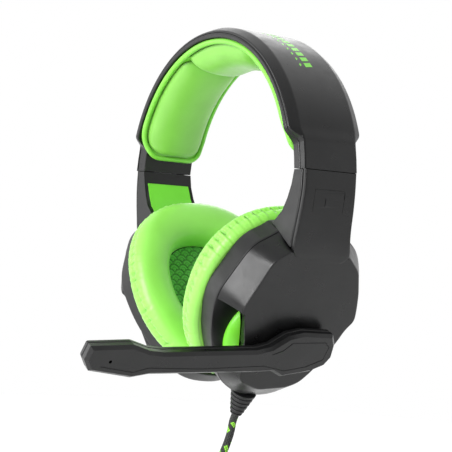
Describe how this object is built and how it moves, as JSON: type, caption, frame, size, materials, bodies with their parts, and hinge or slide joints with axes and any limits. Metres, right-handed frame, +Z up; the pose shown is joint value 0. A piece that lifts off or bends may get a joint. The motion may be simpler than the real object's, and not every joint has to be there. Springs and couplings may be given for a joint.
{
  "type": "gaming headset",
  "caption": "Over-ear headset: chamfered headband with puffed pad, sliding arms, leaning oval ear cups with soft ring cushions, swinging microphone boom and a coiled braided cord.",
  "frame": {"origin": "middle of the underside of the headband pad, where a head or a hook carries the headset", "axes": "the wearer faces -Y, +Z is up, +X is the wearer's left, the side with the microphone boom and the cord"},
  "size_m": [0.1722, 0.1784, 0.3586],
  "materials": {
    "shell_black": "satin moulded black",
    "inner_black": "fine matt black",
    "housing_black": "matt moulded black",
    "accent_green": "smooth green plastic",
    "leatherette_green": "soft lime leatherette",
    "piping_green": "smooth green edging",
    "speaker_mesh": "dark green scale-patterned mesh",
    "steel": "plain steel",
    "gold_plate": "gold plated",
    "diaphragm_film": "thin clear-grey film",
    "washer_black": "matt",
    "rubber_black": "matt rubber",
    "braid_black": "black braid with green flecks"
  },
  "bodies": {
    "headband": {"headband_outer_shell": "shell_black", "headband_inner_frame": "inner_black", "crossover_lead": "braid_black", "headband_pad_board": "piping_green", "headband_pad_left": "leatherette_green", "headband_pad_top": "leatherette_green", "headband_pad_right": "leatherette_green"},
    "left_arm": {"left_outer_cover": "shell_black", "left_arm_inner_cover": "inner_black", "left_insert_panel": "accent_green", "left_cup_housing": "housing_black", "left_baffle": "inner_black", "left_baffle_screw_1": "steel", "left_baffle_screw_2": "steel", "left_baffle_screw_3": "steel", "left_driver_frame": "steel", "left_driver_magnet": "steel", "left_driver_diaphragm": "diaphragm_film", "left_ear_cushion": "leatherette_green", "left_ear_mesh": "speaker_mesh", "left_accent_disc": "accent_green", "left_slider_strip": "steel", "terminal_board": "accent_green", "boom_friction_washer": "washer_black", "cord_strain_relief": "rubber_black", "cord_hanging": "braid_black", "cord_coil": "braid_black", "cord_tie": "rubber_black", "cord_tail": "braid_black", "plug_body": "rubber_black", "plug_pin": "gold_plate"},
    "right_arm": {"right_outer_cover": "shell_black", "right_arm_inner_cover": "inner_black", "right_insert_panel": "accent_green", "right_cup_housing": "housing_black", "right_baffle": "inner_black", "right_baffle_screw_1": "steel", "right_baffle_screw_2": "steel", "right_baffle_screw_3": "steel", "right_driver_frame": "steel", "right_driver_magnet": "steel", "right_driver_diaphragm": "diaphragm_film", "right_ear_cushion": "leatherette_green", "right_ear_mesh": "speaker_mesh", "right_accent_disc": "accent_green", "right_slider_strip": "steel"},
    "mic_boom": {"boom_outer_cover": "shell_black", "boom_inner_cover": "shell_black", "mic_capsule": "steel", "boom_pivot_pin": "steel"}
  },
  "joints": [
    {"name": "left_height_slide", "type": "slide", "parent": "headband", "child": "left_arm", "axis": [0.1736, 0, -0.9848], "range_m": [0, 0.02]},
    {"name": "right_height_slide", "type": "slide", "parent": "headband", "child": "right_arm", "axis": [-0.1736, 0, -0.9848], "range_m": [0, 0.02]},
    {"name": "mic_boom_swing", "type": "hinge", "parent": "left_arm", "child": "mic_boom", "pos_m": [0.0579, 0.008, -0.15219], "axis": [-0.9063, 0, 0.4226], "range_deg": [-15, 105]}
  ]
}
